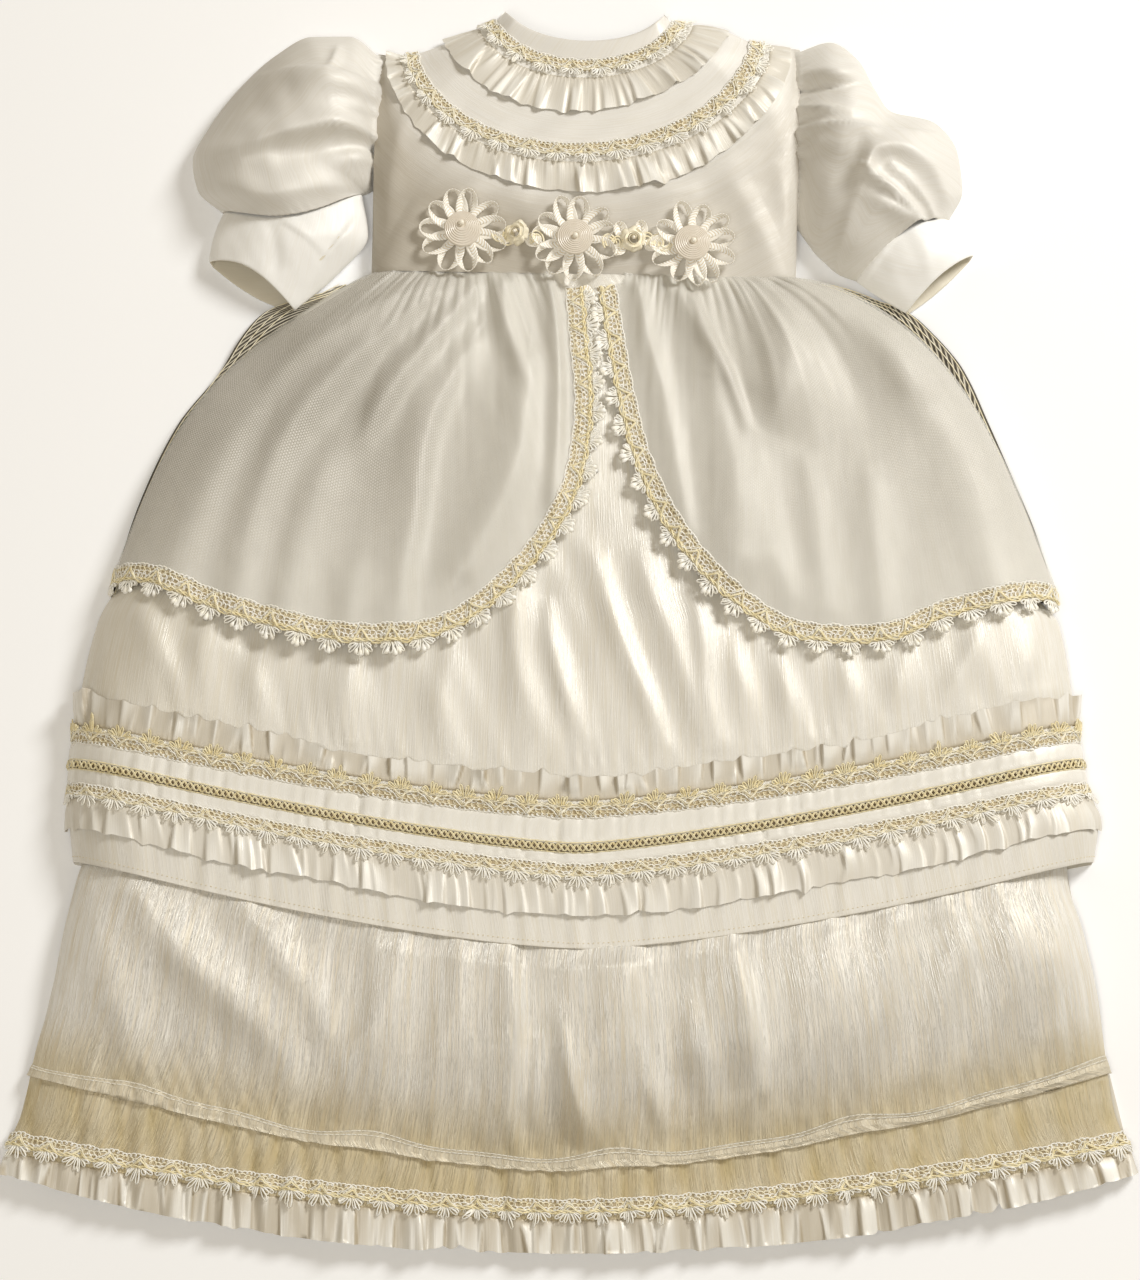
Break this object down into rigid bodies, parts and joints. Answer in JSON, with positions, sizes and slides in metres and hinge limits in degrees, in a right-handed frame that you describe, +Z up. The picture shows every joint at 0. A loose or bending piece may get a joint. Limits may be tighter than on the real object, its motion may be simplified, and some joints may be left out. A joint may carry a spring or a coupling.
{
  "type": "christening gown",
  "caption": "Long silk baptism gown laid flat: short bodice, puff sleeves, cutaway net overskirt, nested skirts, pleated ruffles, looped braid and ribbon flowers.",
  "frame": {"origin": "centre of the gown's outline, on the surface that it lies on", "axes": "+X to the right seen from above, +Y from the hem to the neck, +Z up from the surface out of the gown's front"},
  "size_m": [0.6724, 0.7832, 0.042],
  "materials": {
    "silk": "ivory slubbed silk with a soft sheen",
    "ruffle_silk": "ivory silk, pleated, with raw pinked edges",
    "net": "fine ivory net over silk",
    "braid": "cream and straw looped cord braid",
    "ribbon": "ribbed ivory ribbon",
    "button": "pale turned disc with a pearl"
  },
  "bodies": {
    "root": {"bodice_front": "silk", "bodice_back_left": "silk", "bodice_back_right": "silk", "neck_band": "silk", "neck_braid": "braid", "neck_ruffle": "ruffle_silk", "yoke_braid": "braid", "yoke_ruffle": "ruffle_silk", "sleeve_left": "silk", "sleeve_right": "silk", "cuff_left": "silk", "cuff_right": "silk", "overskirt_left": "net", "overskirt_right": "net", "overskirt_back": "net", "overskirt_braid_left": "braid", "overskirt_braid_right": "braid", "tier_front": "silk", "tier_back": "silk", "band_ruffle_upper": "ruffle_silk", "band_braid_upper": "braid", "band_strip_upper": "ruffle_silk", "band_strip_lower": "ruffle_silk", "band_braid_lower": "braid", "band_ruffle_lower": "ruffle_silk", "skirt_front": "silk", "skirt_back": "silk", "hem_braid": "braid", "hem_ruffle": "ruffle_silk", "flower_left": "ribbon", "flower_middle": "ribbon", "flower_right": "ribbon", "flower_button_left": "button", "flower_button_middle": "button", "flower_button_right": "button", "rose_left": "ribbon", "rose_right": "ribbon"}
  },
  "joints": []
}
